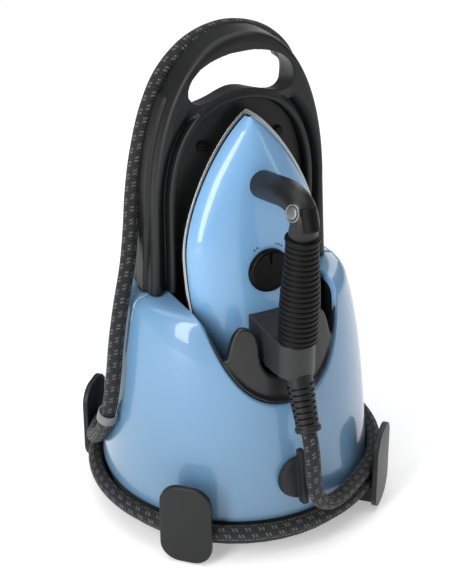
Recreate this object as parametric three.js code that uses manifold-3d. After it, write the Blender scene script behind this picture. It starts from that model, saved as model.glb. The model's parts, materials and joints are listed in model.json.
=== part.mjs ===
// Steam-generator ironing station: a clothes iron parked nose up in its steam base,
// with the steam hose wound round four cord hooks. Millimetres, +Z up, the floor at z = 0,
// the iron and the drain cap on the -Y side.
import * as THREE from "three";
import { mergeVertices } from "three/addons/utils/BufferGeometryUtils.js";
import Module from "manifold-3d";

const wasm = await Module();
wasm.setup();

// ---- driving sizes ------------------------------------------------------------------------
const gap = 0.3; // between pieces that touch
const wall = 3; // moulded shells

const baseRadius = 118.5; // blue shell at its foot
const footZ = 33; // underside of the blue shell
const roofZ = 211; // top of the blue shell
const shoulderRadius = baseRadius - 18.5; // blue shell where the shoulder starts to round
const archTopZ = 428; // top of the carrying handle
const archHalfWidth = 83.5; // outside of the uprights at the roof
const archFrontY = -14;
const archBackY = 12;
const saddleBackY = 26;
const recessTopZ = archTopZ - 55.5;
const recessFloorY = -4.7;
const soleHalfWidth = 63;
const scoopHalfWidth = soleHalfWidth + 1; // opening of the blue shell at the roof
const scoopLipZ = 134.5; // lowest point of that opening
const recessHalfWidth = scoopHalfWidth - 3.5; // pocket behind the iron
const frontDraft = 0.09; // how much the front of the shell leans back, per 107 mm of height

const hoseDiameter = 13;
const hoseRadius = hoseDiameter / 2;
const hoseSides = 8;
const windingRadius = baseRadius + hoseRadius + 0.5; // centreline of the wound hose
const lowTurnZ = 27;
const highTurnZ = lowTurnZ + hoseDiameter + 0.4;

const hookWidth = 45.5;
const hookHeight = 75.5;
const hookThickness = 5;
const hookInnerRadius = windingRadius + hoseRadius + 0.5;

const capZ = 69; // drain cap on the front of the shell
const capRadius = 19;

const soleLength = 222;
const soleThickness = 3;
const shieldThickness = 1.6;
const ironLean = THREE.MathUtils.degToRad(5);
const ironHeel = new THREE.Vector3(0, -36.5, 145.5); // middle of the heel, on the sole's face

const stemRadius = 11.7;
const gripTop = new THREE.Vector3(0, -114.5, 295);
const gripFoot = new THREE.Vector3(0, -110.5, 200);
const bracketTopZ = 199; // where the grip stands; it rises towards the iron
const bracketFootZ = 168;

const black = { color: 0x26282a, roughness: 0.45, metalness: 0 };
const satin = { color: 0x303234, roughness: 0.38, metalness: 0 };
const blue = { color: 0x7fb0de, roughness: 0.16, metalness: 0 };
const steel = { color: 0xc9ccd0, roughness: 0.25, metalness: 1 };
const aluminium = { color: 0x9a9da1, roughness: 0.5, metalness: 1 };
const rubber = { color: 0x1b1c1d, roughness: 0.8, metalness: 0 };

const group = new THREE.Group();

// ---- helpers ------------------------------------------------------------------------------
function solid(geometry) {
  const bare = geometry.clone();
  bare.deleteAttribute("normal");
  bare.deleteAttribute("uv");
  const merged = mergeVertices(bare, 1e-4);
  const triVerts = Uint32Array.from(merged.index.array);
  const vertProperties = Float32Array.from(merged.attributes.position.array);
  return new wasm.Manifold(new wasm.Mesh({ numProp: 3, vertProperties, triVerts }));
}

function geometryOf(body) {
  const mesh = body.getMesh();
  const geometry = new THREE.BufferGeometry();
  geometry.setAttribute("position", new THREE.BufferAttribute(mesh.vertProperties, 3));
  geometry.setIndex(new THREE.BufferAttribute(mesh.triVerts, 1));
  geometry.computeVertexNormals();
  return geometry;
}

function add(name, shape, finish) {
  const geometry = shape.isBufferGeometry ? shape : geometryOf(shape);
  const mesh = new THREE.Mesh(geometry, new THREE.MeshStandardMaterial(finish));
  mesh.name = name;
  group.add(mesh);
}

function join(...bodies) {
  return bodies.reduce((whole, body) => whole.add(body));
}

function box(low, high) {
  const size = high.map((value, i) => value - low[i]);
  const middle = high.map((value, i) => (value + low[i]) / 2);
  return solid(new THREE.BoxGeometry(...size).translate(...middle));
}

// A lathe about the Z axis; the profile is a list of [radius, z].
function turned(profile, segments = 48) {
  const points = profile.map(([radius, z]) => new THREE.Vector2(radius, z));
  return solid(new THREE.LatheGeometry(points, segments).rotateX(Math.PI / 2));
}

// A rod between two points, with its own radius at each end.
function rod(from, to, fromRadius, toRadius = fromRadius, segments = 24) {
  const axis = new THREE.Vector3().subVectors(to, from);
  const shape = new THREE.CylinderGeometry(toRadius, fromRadius, axis.length(), segments);
  const turn = new THREE.Quaternion().setFromUnitVectors(
    new THREE.Vector3(0, 1, 0), axis.clone().normalize());
  const middle = new THREE.Vector3().addVectors(from, to).multiplyScalar(0.5);
  return solid(shape.applyQuaternion(turn).translate(middle.x, middle.y, middle.z));
}

function point(x, y, z) {
  return new THREE.Vector3(x, y, z);
}

// An outline drawn in X and Z, with thickness from frontY to backY.
function slab(shape, frontY, backY, curveSegments = 10) {
  const depth = backY - frontY;
  const geometry = new THREE.ExtrudeGeometry(shape, { depth, bevelEnabled: false, curveSegments });
  return solid(geometry.rotateX(Math.PI / 2).translate(0, backY, 0));
}

// An outline drawn in X and Y, standing from lowZ to highZ.
function prism(shape, lowZ, highZ, curveSegments = 10) {
  const depth = highZ - lowZ;
  const geometry = new THREE.ExtrudeGeometry(shape, { depth, bevelEnabled: false, curveSegments });
  return solid(geometry.translate(0, 0, lowZ));
}

// A round tube along a curve.
function tube(curve, radius, steps, sides = 12) {
  const ring = new THREE.Shape();
  for (let i = 0; i < sides; i++) {
    const angle = (2 * Math.PI * i) / sides;
    const x = radius * Math.cos(angle);
    const y = radius * Math.sin(angle);
    if (i === 0) ring.moveTo(x, y);
    else ring.lineTo(x, y);
  }
  ring.closePath();
  return new THREE.ExtrudeGeometry(ring, { steps, extrudePath: curve, bevelEnabled: false });
}

function roundedRectangle(width, height, radius) {
  const x = width / 2;
  const y = height / 2;
  const shape = new THREE.Shape();
  shape.moveTo(-x + radius, -y);
  shape.lineTo(x - radius, -y);
  shape.absarc(x - radius, -y + radius, radius, -Math.PI / 2, 0);
  shape.lineTo(x, y - radius);
  shape.absarc(x - radius, y - radius, radius, 0, Math.PI / 2);
  shape.lineTo(-x + radius, y);
  shape.absarc(-x + radius, y - radius, radius, Math.PI / 2, Math.PI);
  shape.lineTo(-x, -y + radius);
  shape.absarc(-x + radius, -y + radius, radius, Math.PI, 1.5 * Math.PI);
  return shape;
}

// ---- outlines shared by neighbours ----------------------------------------------------------
// Outside of the blue shell from its foot to the middle of the roof, drawn in by `inset`.
function shellProfile(inset, lowZ) {
  const waistZ = (footZ + roofZ) / 2 + 8;
  const shoulderZ = roofZ - 11;
  const side = new THREE.CubicBezierCurve(
    new THREE.Vector2(baseRadius - inset, lowZ),
    new THREE.Vector2(baseRadius - 2.5 - inset, waistZ - 30),
    new THREE.Vector2(shoulderRadius + 12 - inset, waistZ + 28),
    new THREE.Vector2(shoulderRadius - inset, shoulderZ));
  const shoulder = new THREE.QuadraticBezierCurve(
    new THREE.Vector2(shoulderRadius - inset, shoulderZ),
    new THREE.Vector2(shoulderRadius - 3 - inset, roofZ - 0.4 - inset),
    new THREE.Vector2(shoulderRadius - 16 - inset, roofZ - inset));
  const points = side.getPoints(7);
  points.push(...shoulder.getPoints(4).slice(1));
  points.push(new THREE.Vector2(0, roofZ - inset));
  return points.map((p) => [p.x, p.y]);
}

// How far the front half of the shell is drawn in at a height, as a share of its depth.
function draftAt(z) {
  return 1 - (frontDraft * Math.max(0, z - footZ)) / 107;
}

function drafted(body) {
  return body.warp((vertex) => {
    if (vertex[1] < 0) vertex[1] *= draftAt(vertex[2]);
  });
}

function filledShell(inset) {
  return drafted(turned([[0, footZ], ...shellProfile(inset, footZ)], 64));
}

// The shell's outer face on the middle plane at the front, at a height on its side.
function shellFrontY(z) {
  const profile = shellProfile(0, footZ);
  const upper = profile.findIndex((p) => p[1] >= z);
  const [low, high] = [profile[upper - 1], profile[upper]];
  const radius = THREE.MathUtils.mapLinear(z, low[1], high[1], low[0], high[0]);
  return -radius * draftAt(z);
}

// The front opening of the blue shell, seen from the front and drawn in by `inset`.
function scoopOutline(inset, topZ) {
  const halfWidth = scoopHalfWidth - inset;
  const lipZ = scoopLipZ + inset;
  const shape = new THREE.Shape();
  shape.moveTo(halfWidth, topZ);
  shape.lineTo(-halfWidth, topZ);
  shape.lineTo(-halfWidth, roofZ);
  shape.bezierCurveTo(-halfWidth + 7, roofZ - 35, -halfWidth + 20, lipZ, 0, lipZ);
  shape.bezierCurveTo(halfWidth - 20, lipZ, halfWidth - 7, roofZ - 35, halfWidth, roofZ);
  return shape;
}

// The cradle's inner bowl, which takes the iron's heel behind that opening.
function bowlOutline(inset) {
  const halfWidth = scoopHalfWidth + wall + 1 - inset;
  const floorZ = scoopLipZ - 2 + inset;
  const shape = new THREE.Shape();
  shape.moveTo(halfWidth, roofZ + 5);
  shape.lineTo(-halfWidth, roofZ + 5);
  shape.lineTo(-halfWidth, floorZ + 26);
  shape.bezierCurveTo(-halfWidth, floorZ + 8, -halfWidth + 16, floorZ, -halfWidth + 34, floorZ);
  shape.lineTo(halfWidth - 34, floorZ);
  shape.bezierCurveTo(halfWidth - 16, floorZ, halfWidth, floorZ + 8, halfWidth, floorZ + 26);
  return shape;
}

// The arch seen from the front; `inset` draws its rounded top in.
function archOutline(inset, footLevel) {
  const spring = roofZ + 74;
  const springX = archHalfWidth - 3.8 - inset;
  const topZ = archTopZ - inset;
  const shape = new THREE.Shape();
  shape.moveTo(archHalfWidth - inset, footLevel);
  shape.lineTo(springX, spring);
  shape.bezierCurveTo(springX - 1.5, spring + 75, 53 - inset / 2, topZ, 0, topZ);
  shape.bezierCurveTo(-53 + inset / 2, topZ, -springX + 1.5, spring + 75, -springX, spring);
  shape.lineTo(-archHalfWidth + inset, footLevel);
  return shape;
}

// The pocket behind the iron, from `footLevel` up to its rounded top.
function recessOutline(inset, footLevel) {
  const halfWidth = recessHalfWidth - inset;
  const topZ = recessTopZ - inset;
  const spring = roofZ + 74;
  const shape = new THREE.Shape();
  shape.moveTo(halfWidth, footLevel);
  shape.lineTo(halfWidth, spring);
  shape.bezierCurveTo(halfWidth, spring + 45, 46 - inset, topZ, 0, topZ);
  shape.bezierCurveTo(-46 + inset, topZ, -halfWidth, spring + 45, -halfWidth, spring);
  shape.lineTo(-halfWidth, footLevel);
  return shape;
}

// The hand opening under the top of the arch; `drop` makes it smaller and `sink` lowers its sill.
function handOpening(drop, sink = 0) {
  const topZ = archTopZ - 15 - drop;
  const endZ = archTopZ - 41.5;
  const endX = 47.5 - drop;
  const lobeX = endX - 12.5;
  const lobeZ = endZ - 13 - sink;
  const crownZ = endZ - 6 - sink;
  const shape = new THREE.Shape();
  shape.moveTo(-endX, endZ);
  shape.bezierCurveTo(-endX + 1, endZ + 17 - drop, -24, topZ, 0, topZ);
  shape.bezierCurveTo(24, topZ, endX - 1, endZ + 17 - drop, endX, endZ);
  shape.bezierCurveTo(endX + 1, endZ - 9, endX - 6, lobeZ - 0.5, lobeX, lobeZ);
  shape.bezierCurveTo(lobeX - 11, lobeZ + 1, 14, crownZ, 0, crownZ);
  shape.bezierCurveTo(-14, crownZ, -lobeX + 11, lobeZ + 1, -lobeX, lobeZ);
  shape.bezierCurveTo(-endX + 6, lobeZ - 0.5, -endX - 1, endZ - 9, -endX, endZ);
  return shape;
}

// ---- base ---------------------------------------------------------------------------------
const panFloorZ = 12;
const panWallRadius = baseRadius - wall - 1.4;
const panFlangeRadius = baseRadius + 2.5;
const tankHalfWidth = 46;
const tankFrontY = 50;
const tankBackRadius = 124;
const tankFootZ = 70;
const tankClearance = 1.2;
const drainNeckRadius = 10;

function basePan() {
  const tray = turned([
    [0, panFloorZ],
    [panFlangeRadius, panFloorZ],
    [panFlangeRadius, lowTurnZ - hoseRadius - 0.7],
    [panWallRadius, lowTurnZ - hoseRadius - 0.7],
    [panWallRadius, footZ + 5],
    [panWallRadius - wall, footZ + 5],
    [panWallRadius - wall, panFloorZ + wall],
    [0, panFloorZ + wall],
  ]);
  add("base_pan", tray, black);
}

function outerShell() {
  const inner = shellProfile(wall, footZ - 1);
  const cavity = drafted(turned([[0, footZ - 1], ...inner], 64));
  const bay = box(
    [-tankHalfWidth - tankClearance, tankFrontY - tankClearance, tankFootZ - tankClearance],
    [tankHalfWidth + tankClearance, baseRadius + 10, roofZ + 10]);
  const drainHole = rod(point(0, -baseRadius - 10, capZ), point(0, -60, capZ), drainNeckRadius + gap);
  const shell = filledShell(0)
    .subtract(cavity)
    .subtract(slab(scoopOutline(0, roofZ + 20), -baseRadius - 10, recessFloorY + gap))
    .subtract(bay)
    .subtract(drainHole)
    .subtract(hoseGlandHole())
    .subtract(mainsSleeve(gap))
    .subtract(switchRocker(rockerRoom))
    .subtract(readyLens(gap));
  add("outer_shell", shell, blue);
}

function cradleLiner() {
  const face = 1.2; // set back from the blue shell
  const backY = archFrontY + 5;
  const bowlFrontY = -72;
  const mouth = slab(scoopOutline(gap + 0.1, roofZ), -baseRadius, backY).intersect(filledShell(face));
  const bowl = slab(bowlOutline(0), bowlFrontY, backY).intersect(filledShell(wall + gap));
  const mouthRoom = slab(scoopOutline(gap + wall, roofZ + 5), -baseRadius - 1, backY + 1);
  const bowlRoom = slab(bowlOutline(wall), bowlFrontY + wall, backY + 1)
    .intersect(filledShell(wall * 2 + gap)
      .add(box([-scoopHalfWidth - 2, -70, roofZ - 20], [scoopHalfWidth + 2, 0, roofZ + 9])));
  const apronWall = wall * 2;
  const lowRadius = baseRadius - 12;
  const highRadius = shoulderRadius + 3;
  const apron = drafted(turned([
    [lowRadius - apronWall, scoopLipZ - 4], [lowRadius, scoopLipZ - 4],
    [highRadius, roofZ], [highRadius - apronWall, roofZ], [lowRadius - apronWall, scoopLipZ - 4],
  ], 72))
    .intersect(slab(scoopOutline(gap + 0.1, roofZ), -baseRadius, -60))
    .intersect(slab(hornOutline(), -baseRadius, -50));
  add("cradle_liner", join(mouth, bowl).subtract(mouthRoom).subtract(bowlRoom).add(apron), satin);
}

// The front wall of the cradle: two horns with the handle's slot between them.
function hornOutline() {
  const hornZ = roofZ - 6;
  const valleyZ = scoopLipZ + 37.5;
  const slotHalfWidth = 23;
  const slotFootZ = scoopLipZ + 23;
  const shape = new THREE.Shape();
  shape.moveTo(0, scoopLipZ - 5);
  shape.lineTo(scoopHalfWidth, scoopLipZ - 5);
  shape.lineTo(scoopHalfWidth, valleyZ);
  shape.lineTo(52, valleyZ);
  shape.bezierCurveTo(46, valleyZ + 3, 46, hornZ, 35, hornZ);
  shape.bezierCurveTo(27, hornZ, slotHalfWidth, hornZ - 10, slotHalfWidth, hornZ - 22);
  shape.bezierCurveTo(slotHalfWidth, slotFootZ + 6, 16, slotFootZ, 0, slotFootZ);
  shape.bezierCurveTo(-16, slotFootZ, -slotHalfWidth, slotFootZ + 6, -slotHalfWidth, hornZ - 22);
  shape.bezierCurveTo(-slotHalfWidth, hornZ - 10, -27, hornZ, -35, hornZ);
  shape.bezierCurveTo(-46, hornZ, -46, valleyZ + 3, -52, valleyZ);
  shape.lineTo(-scoopHalfWidth, valleyZ);
  shape.lineTo(-scoopHalfWidth, scoopLipZ - 5);
  return shape;
}

function standArch() {
  const footLevel = roofZ + gap;
  const soft = 6;
  const rounded = new THREE.ExtrudeGeometry(archOutline(0, footLevel - 20), {
    depth: archBackY - archFrontY, curveSegments: 12,
    bevelSize: soft, bevelThickness: soft, bevelOffset: -soft, bevelSegments: 3,
  }).rotateX(Math.PI / 2).translate(0, archBackY + soft, 0);
  const arch = solid(rounded).intersect(box([-200, archFrontY - 1, footLevel], [200, archBackY, 500]))
    .subtract(slab(recessOutline(0, footLevel - 1), archFrontY - 1, recessFloorY, 12))
    .subtract(slab(handOpening(0), archFrontY - 1, archBackY + 1));
  add("stand_arch", arch, black);
  const inset = hoseDiameter + 0.8;
  const post = slab(archOutline(0, footLevel), archBackY + gap, saddleBackY, 12)
    .intersect(box([-200, 0, 0], [200, 50, roofZ + 66]));
  const saddle = slab(archOutline(inset, footLevel), archBackY + gap, saddleBackY, 12);
  const window = handOpening(8, 14);
  const sightZ = archTopZ - 69.5; // nothing behind the opening above this, up to the saddle
  const lowerHalf = box([-200, 0, 0], [200, 50, sightZ]);
  const upperHalf = box([-200, 0, archTopZ - 34], [200, 50, archTopZ]);
  add("arch_brace", join(post, saddle).intersect(lowerHalf), black);
  add("hose_saddle", saddle.intersect(upperHalf).subtract(slab(window, 0, saddleBackY + 1)), black);
}

function restPlate() {
  const frontY = recessFloorY - gap - 3;
  const lower = slab(scoopOutline(gap * 2, roofZ), frontY, recessFloorY - gap);
  const upper = slab(recessOutline(gap * 2, roofZ - 2), frontY, recessFloorY - gap, 12);
  add("rest_plate", join(lower, upper), satin);
  for (const [side, x] of [["left", -35], ["right", 35]]) {
    const z = recessTopZ - 35.5;
    const pad = rod(point(x, frontY - gap, z), point(x, frontY - gap - 3.5, z), 4.5, 3.5, 16);
    add(`rest_pad_${side}`, pad, rubber);
  }
}

// ---- cord hooks and feet --------------------------------------------------------------------
const hookSides = [["front_left", -45], ["front_right", 45], ["rear_right", 135], ["rear_left", 225]];
const armTopZ = lowTurnZ - hoseRadius - 0.7;
const armLowZ = 4;
const footCircle = baseRadius - 14.5;

function cordHooks() {
  for (const [side, degrees] of hookSides) {
    const outline = roundedRectangle(hookWidth, hookHeight, 17);
    const plate = slab(outline, -hookInnerRadius - hookThickness, -hookInnerRadius, 6)
      .translate([0, 0, armLowZ - 3 + hookHeight / 2]);
    const arm = box([-12, -hookInnerRadius - 1, armLowZ], [12, -panFlangeRadius - gap, armTopZ]);
    const shoe = box([-12, -panFlangeRadius - 1, armLowZ], [12, -footCircle + 14, panFloorZ - gap]);
    add(`cord_hook_${side}`, join(plate, arm, shoe).rotate([0, 0, degrees]), satin);
    const foot = rod(point(0, -footCircle, 0), point(0, -footCircle, armLowZ - gap), 9, 9, 20);
    add(`rubber_foot_${side}`, foot.rotate([0, 0, degrees]), rubber);
  }
}

function panScrews() {
  for (const [side, degrees] of [["front", 0], ["right", 90], ["rear", 180], ["left", 270]]) {
    const y = 22.5 - baseRadius;
    const head = rod(point(0, y, panFloorZ - gap - 2.4), point(0, y, panFloorZ - gap), 4, 4, 12);
    add(`pan_screw_${side}`, head.rotate([0, 0, degrees]), steel);
  }
}

// ---- drain ----------------------------------------------------------------------------------
const boilerRadius = 34;
const boilerY = -20;
const boilerZ = 86;

function drain() {
  const faceY = shellFrontY(capZ);
  const lean = drainLean();
  const neck = rod(point(0, faceY + 1.8, capZ), point(0, boilerY - boilerRadius - 1, capZ), drainNeckRadius);
  const bore = rod(point(0, faceY + 1, capZ), point(0, faceY + 20, capZ), drainNeckRadius - 3);
  add("drain_neck", neck.subtract(bore), aluminium);
  // the cap is drawn upright at the origin, then leant with the shell and set on its face
  const disc = rod(point(0, -1.2, 0), point(0, -7, 0), capRadius, capRadius - 1.5, 32);
  const fin = box([-2.6, -14.5, -21], [2.6, -6, 28]);
  add("drain_cap", join(disc, fin).rotate([lean, 0, 0]).translate([0, faceY, capZ]), black);
}

// How far the shell's front leans back at the drain, in degrees.
function drainLean() {
  const rise = 2 * capRadius;
  const run = shellFrontY(capZ + capRadius) - shellFrontY(capZ - capRadius);
  return -THREE.MathUtils.radToDeg(Math.atan2(run, rise));
}

// ---- steam works inside the base ------------------------------------------------------------
function boilerWorks() {
  const half = baseRadius - 56.5;
  const dome = 12;
  const tank = turned([
    [0, -half - dome], [boilerRadius * 0.6, -half - dome * 0.8], [boilerRadius * 0.9, -half - dome * 0.4],
    [boilerRadius, -half], [boilerRadius, half], [boilerRadius * 0.9, half + dome * 0.4],
    [boilerRadius * 0.6, half + dome * 0.8], [0, half + dome],
  ], 32).rotate([0, 90, 0]).translate([0, boilerY, boilerZ]);
  add("boiler", tank, steel);
  const plateX = half + dome + gap;
  add("heating_element", rod(point(-plateX, boilerY, boilerZ), point(-plateX - 10, boilerY, boilerZ), 17),
    aluminium);
  const topZ = boilerZ + boilerRadius + gap;
  add("boiler_thermostat", rod(point(-30, boilerY, topZ), point(-30, boilerY, topZ + 8), 8, 7, 16), steel);
  const pumpY = baseRadius - 41.5;
  add("pump", join(
    box([-46, pumpY - 15, panFloorZ + wall + gap], [6, pumpY + 15, 48]),
    rod(point(5, pumpY, 32), point(30, pumpY, 32), 11, 11, 16)), black);
  const valveLow = box([18, boilerY + boilerRadius + 1, boilerZ + 14], [46, boilerY + 66, boilerZ + 44]);
  add("steam_valve", valveLow, aluminium);
  const boardX = 34.5 - baseRadius;
  add("control_board", box([boardX, 10, 60], [boardX + 1.6, 56, 140]), { color: 0x2f6b45, roughness: 0.6 });
  const pipe = new THREE.CatmullRomCurve3([
    point(32, boilerY + 50, boilerZ + 45), point(34, 32, 150), point(56, 38, 178),
    point(hoseInlet.x, hoseInlet.y, hoseInlet.z - 18)]);
  add("steam_pipe", tube(pipe, 3, 12, 8), steel);
}

// ---- water tank -----------------------------------------------------------------------------
function tankPlan(inset) {
  const x = tankHalfWidth - inset;
  const radius = tankBackRadius - inset;
  const angle = Math.acos(x / radius);
  const shape = new THREE.Shape();
  shape.moveTo(-x, tankFrontY + inset);
  shape.lineTo(x, tankFrontY + inset);
  shape.absarc(0, 0, radius, angle, Math.PI - angle, false);
  return shape;
}

const lidFrontY = tankFrontY + 12;
const lidBackY = tankFrontY + 50;
const lidHalfWidth = 24;
const lidThickness = 3.2;

function waterTank() {
  const fingerHold = box([-26, tankBackRadius - 13, 168], [26, tankBackRadius + 5, 190]);
  const outer = prism(tankPlan(0), tankFootZ, roofZ, 14);
  const cavity = prism(tankPlan(2.5), tankFootZ + 2.5, roofZ - 2.5, 14)
    .subtract(box([-29, tankBackRadius - 16, 165], [29, tankBackRadius + 5, 193]));
  const filler = box([-lidHalfWidth + 5, lidFrontY + 6, roofZ - 5], [lidHalfWidth - 5, lidBackY - 6, roofZ + 1]);
  add("water_tank", outer.subtract(cavity).subtract(filler).subtract(fingerHold),
    { color: 0x6f7780, roughness: 0.2, metalness: 0 });
  const outlet = rod(point(0, tankFrontY - gap, tankFootZ + 12), point(0, tankFrontY - 9, tankFootZ + 12),
    7, 5.5, 16);
  add("tank_valve", outlet, black);
  const lid = box([-lidHalfWidth, lidFrontY, roofZ + gap], [lidHalfWidth, lidBackY, roofZ + gap + lidThickness]);
  const tab = box([-7, lidBackY - 1, roofZ + gap], [7, lidBackY + 4, roofZ + gap + lidThickness]);
  add("tank_lid", join(lid, tab), black);
}

// ---- hose inlet, mains inlet, switch ----------------------------------------------------------
const hoseInlet = point(shoulderRadius - 34, 40, roofZ);
const hoseInletTop = 13; // height of the inlet's sleeve above the roof

function hoseGlandHole() {
  return rod(point(hoseInlet.x, hoseInlet.y, roofZ - 10), point(hoseInlet.x, hoseInlet.y, roofZ + 5),
    hoseRadius + 1 + gap);
}

function baseFittings() {
  const at = (z) => point(hoseInlet.x, hoseInlet.y, z);
  add("hose_inlet", join(
    rod(at(roofZ - 12), at(roofZ + 1), hoseRadius + 1),
    rod(at(roofZ + gap), at(roofZ + 3.5), hoseRadius + 6),
    rod(at(roofZ + 3), at(roofZ + hoseInletTop), hoseRadius + 3.5, hoseRadius + 1.5)), satin);
  const sleeveEnd = point(mainsPlace.x, mainsPlace.y + 11, mainsPlace.z);
  // it reaches as far back as the strain relief reaches forward
  const outerEnd = point(mainsPlace.x, reliefReach(), mainsPlace.z);
  add("mains_inlet", join(mainsSleeve(0), rod(sleeveEnd, outerEnd, 7, 5)), satin);
  add("power_switch", switchRocker(0), black);
  add("ready_light", readyLens(0), { color: 0xd8e6d0, roughness: 0.2, metalness: 0 });
}

const rearFaceY = (x) => Math.sqrt((baseRadius - 2.5) ** 2 - x * x);
const besideTank = tankHalfWidth + 12;
const mainsPlace = point(besideTank, rearFaceY(besideTank), 64);
const switchPlace = point(-besideTank - 4, rearFaceY(besideTank + 4), 66);
const lensPlace = point(-besideTank, rearFaceY(besideTank), 92);
const rockerRoom = 1; // so that the rocker can swing in its hole

function mainsSleeve(grow) {
  const { x, y, z } = mainsPlace;
  return rod(point(x, y - 8, z), point(x, y + 12, z), 9 + grow);
}

function switchRocker(grow) {
  const { x, y, z } = switchPlace;
  const size = [9 + grow, 4.5 + grow * 6, 6.5 + grow];
  return box([x - size[0], y - size[1], z - size[2]], [x + size[0], y + size[1], z + size[2]]);
}

function readyLens(grow) {
  const { x, y, z } = lensPlace;
  return rod(point(x, y - 4, z), point(x, y + 2, z), 3.6 + grow, 3.6 + grow, 16);
}

// ---- iron -----------------------------------------------------------------------------------
// Pieces of the iron's shoe are drawn standing on their heel: X across, Z along the sole and
// -Y away from the sole's face. This puts them in their parking place.
function parked(body) {
  const degrees = THREE.MathUtils.radToDeg(ironLean);
  return body.rotate([-degrees, 0, 0]).translate([ironHeel.x, ironHeel.y, ironHeel.z]);
}

function soleOutline(inset) {
  const widestZ = 104;
  const x = soleHalfWidth - inset;
  const nose = soleLength - inset * 1.6;
  const heel = inset;
  const shape = new THREE.Shape();
  shape.moveTo(0, nose);
  shape.bezierCurveTo(-26 + inset, nose - 14, -x, 148, -x, widestZ);
  shape.bezierCurveTo(-x, widestZ - 34, -x + 7, heel, -x + 29, heel);
  shape.lineTo(x - 29, heel);
  shape.bezierCurveTo(x - 7, heel, x, widestZ - 34, x, widestZ);
  shape.bezierCurveTo(x, 148, 26 - inset, nose - 14, 0, nose);
  return shape;
}

// The blue cover of the iron: rings across the shoe, one at each station up the sole.
const dialCrown = 26; // crown under the dial
const coverStations = [
  // height up the sole, crown height over the shield, fullness of the flanks
  [4, 12, 0.7], [12, 22, 0.8], [30, 25.5, 0.84], [60, 26.5, 0.84], [96, dialCrown, 0.82],
  [130, 24.5, 0.78], [160, 23, 0.72], [185, 20, 0.66], [203, 14.5, 0.6], [212, 9.5, 0.5], [216, 6, 0.5],
];
const coverArc = 14;

function halfWidthAt(z) {
  const outline = soleOutline(2.5).getPoints(40).filter((p) => p.x >= 0);
  outline.sort((a, b) => a.y - b.y);
  for (let i = 1; i < outline.length; i++) {
    if (outline[i].y >= z) {
      const t = (z - outline[i - 1].y) / Math.max(1e-6, outline[i].y - outline[i - 1].y);
      return THREE.MathUtils.lerp(outline[i - 1].x, outline[i].x, t);
    }
  }
  return 0;
}

function coverRing(z, crown, fullness, thinner) {
  const halfWidth = halfWidthAt(z) - thinner;
  const footY = -(soleThickness + shieldThickness + gap);
  const ring = [];
  for (let i = 0; i <= coverArc; i++) {
    const angle = (Math.PI * i) / coverArc;
    const across = Math.sign(Math.cos(angle)) * Math.abs(Math.cos(angle)) ** fullness;
    const up = Math.sin(angle) ** (1.5 - fullness * 0.5);
    ring.push(point(halfWidth * across, footY - up * (crown - thinner) - (thinner ? -1 : 0), z));
  }
  return ring;
}

function loft(rings) {
  const sides = rings[0].length;
  const positions = rings.flat().flatMap((p) => [p.x, p.y, p.z]);
  const index = [];
  for (let r = 0; r + 1 < rings.length; r++) {
    for (let s = 0; s < sides; s++) {
      const a = r * sides + s;
      const b = r * sides + ((s + 1) % sides);
      index.push(a, b + sides, b, a, a + sides, b + sides);
    }
  }
  for (let s = 1; s + 1 < sides; s++) {
    index.push(0, s, s + 1);
    const top = (rings.length - 1) * sides;
    index.push(top, top + s + 1, top + s);
  }
  const geometry = new THREE.BufferGeometry();
  geometry.setAttribute("position", new THREE.BufferAttribute(new Float32Array(positions), 3));
  geometry.setIndex(index);
  return geometry;
}

function coverBody(thinner) {
  const roomy = coverStations.filter(([z]) => halfWidthAt(z) > thinner + 3);
  const rings = roomy.map(([z, crown, fullness]) => coverRing(z, crown, fullness, thinner));
  return solid(loft(rings));
}

const dialPlace = { z: 92, radius: 19, thickness: 5.5 };

function ironShoe() {
  const sole = slab(soleOutline(0), -soleThickness, 0, 12);
  add("soleplate", parked(sole), steel);
  const shieldBack = -soleThickness - gap;
  const shield = slab(soleOutline(3), shieldBack - shieldThickness, shieldBack, 12);
  add("heat_shield", parked(shield), black);
  const cover = coverBody(0);
  const room = coverBody(2.6);
  const shaftHole = rod(point(0, -60, dialPlace.z), point(0, -10, dialPlace.z), 3.4, 3.4, 16);
  add("iron_cover", parked(cover.subtract(room).subtract(shaftHole)), blue);

  const blockBack = shieldBack - shieldThickness - gap;
  const block = slab(soleOutline(16), blockBack - 9, blockBack, 8).intersect(box([-99, -99, 20], [99, 99, 182]));
  add("steam_chamber", parked(block), aluminium);
  const thermostat = rod(point(0, blockBack - 9 - gap, dialPlace.z), point(0, blockBack - 14, dialPlace.z), 8);
  add("iron_thermostat", parked(thermostat), steel);
  const dialFoot = -(soleThickness + shieldThickness + gap) - dialCrown - 0.5;
  const shaft = rod(point(0, blockBack - 14 - gap, dialPlace.z), point(0, dialFoot - 2, dialPlace.z), 3, 3, 16);
  const disc = rod(point(0, dialFoot, dialPlace.z), point(0, dialFoot - dialPlace.thickness, dialPlace.z),
    dialPlace.radius, dialPlace.radius - 1.2, 32);
  const pointer = box([-1.2, dialFoot - dialPlace.thickness - 0.01, dialPlace.z + 3],
    [1.2, dialFoot - dialPlace.thickness + 1.4, dialPlace.z + 20]);
  add("temperature_dial", parked(join(shaft, disc).subtract(pointer)), black);
}

// The plain cap on the side of the stem's bend, by distance from the bend's middle.
function fromBend(distance) {
  return point(0, -112.9, 314.3).addScaledVector(point(-0.917, -0.255, 0.306), distance);
}

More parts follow.
